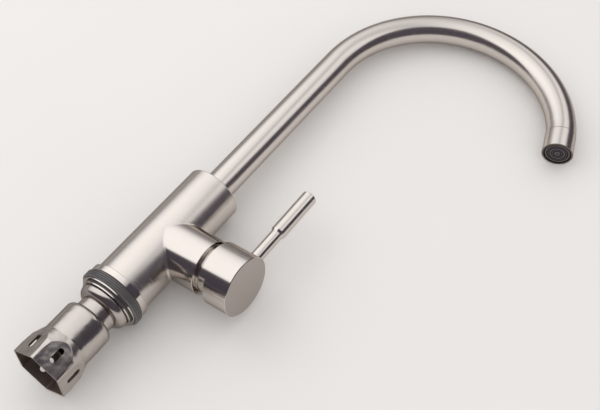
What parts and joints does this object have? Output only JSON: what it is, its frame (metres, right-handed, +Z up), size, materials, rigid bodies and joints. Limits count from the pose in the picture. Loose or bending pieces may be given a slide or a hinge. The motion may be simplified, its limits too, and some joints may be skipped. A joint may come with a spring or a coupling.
{
  "type": "kitchen faucet",
  "caption": "Upright kitchen faucet with a swivelling arched spout, a side handle whose lever turns and lifts, and a threaded foot with a long socket nut that clamps it to a sink deck.",
  "frame": {"origin": "on the column's axis at the sink deck, in the plane of the gasket's underside", "axes": "+Z up along the column, +X along the handle's axis away from the column, -Y towards the user"},
  "size_m": [0.2419, 0.0651, 0.4906],
  "materials": {
    "brushed_steel": "fine brushed stainless steel",
    "polished_steel": "polished stainless steel",
    "black_rubber": "matt moulded rubber",
    "black_plastic": "satin moulded plastic",
    "white_plastic": "matt moulded plastic",
    "disc_ceramic": "lapped white ceramic",
    "brass": "turned brass",
    "screw_steel": "plain stainless steel"
  },
  "bodies": {
    "column": {"valve_body": "brushed_steel", "base_ring": "brushed_steel", "base_gasket": "black_rubber", "mounting_shank": "brass", "thrust_ring": "white_plastic", "spout_bush": "white_plastic", "spout_retaining_screw": "screw_steel", "cartridge_base": "white_plastic", "cartridge_port_seals": "black_rubber", "fixed_ceramic_disc": "disc_ceramic", "cartridge_housing": "white_plastic", "cartridge_retaining_nut": "brass", "cartridge_cover": "polished_steel"},
    "spout": {"spout_tube": "brushed_steel", "spout_foot": "brass", "spout_o_rings": "black_rubber", "outlet_nipple": "brushed_steel", "aerator_shell": "brushed_steel", "aerator_washer": "black_rubber", "aerator_screen": "screw_steel", "aerator_insert": "black_plastic"},
    "mixer": {"mixer_rotor": "white_plastic", "pivot_pin": "screw_steel"},
    "discs": {"moving_ceramic_disc": "disc_ceramic", "disc_carrier": "white_plastic"},
    "handle": {"cartridge_stem": "brass", "handle_cap": "brushed_steel", "lever_pin": "polished_steel", "handle_set_screw": "screw_steel"},
    "washers": {"slip_washer": "polished_steel", "clamp_gasket": "black_rubber", "clamp_ring": "polished_steel"},
    "nut": {"fixing_nut": "polished_steel"}
  },
  "joints": [
    {"name": "spout_swivel", "type": "hinge", "parent": "column", "child": "spout", "pos_m": [0, 0, 0.124], "axis": [0, 0, -1], "continuous": true},
    {"name": "handle_turn", "type": "hinge", "parent": "column", "child": "mixer", "pos_m": [0.054, 0, 0.064], "axis": [1, 0, 0], "range_deg": [0, 90]},
    {"name": "handle_lift", "type": "hinge", "parent": "mixer", "child": "handle", "pos_m": [0.054, 0, 0.064], "axis": [0, 1, 0], "range_deg": [0, 17]},
    {"name": "disc_slide", "type": "slide", "parent": "mixer", "child": "discs", "axis": [0, 0, 1], "range_m": [0, 0.0032]},
    {"name": "nut_travel", "type": "slide", "parent": "column", "child": "washers", "axis": [0, 0, -1], "range_m": [0, 0.036]},
    {"name": "nut_turn", "type": "hinge", "parent": "washers", "child": "nut", "pos_m": [0, 0, -0.03], "axis": [0, 0, -1], "range_deg": [0, 8640]}
  ],
  "couplings": [
    {"joint": "disc_slide", "follows": "handle_lift", "m_per_rad": 0.010642},
    {"joint": "nut_travel", "follows": "nut_turn", "m_per_rad": 0.00023873}
  ]
}
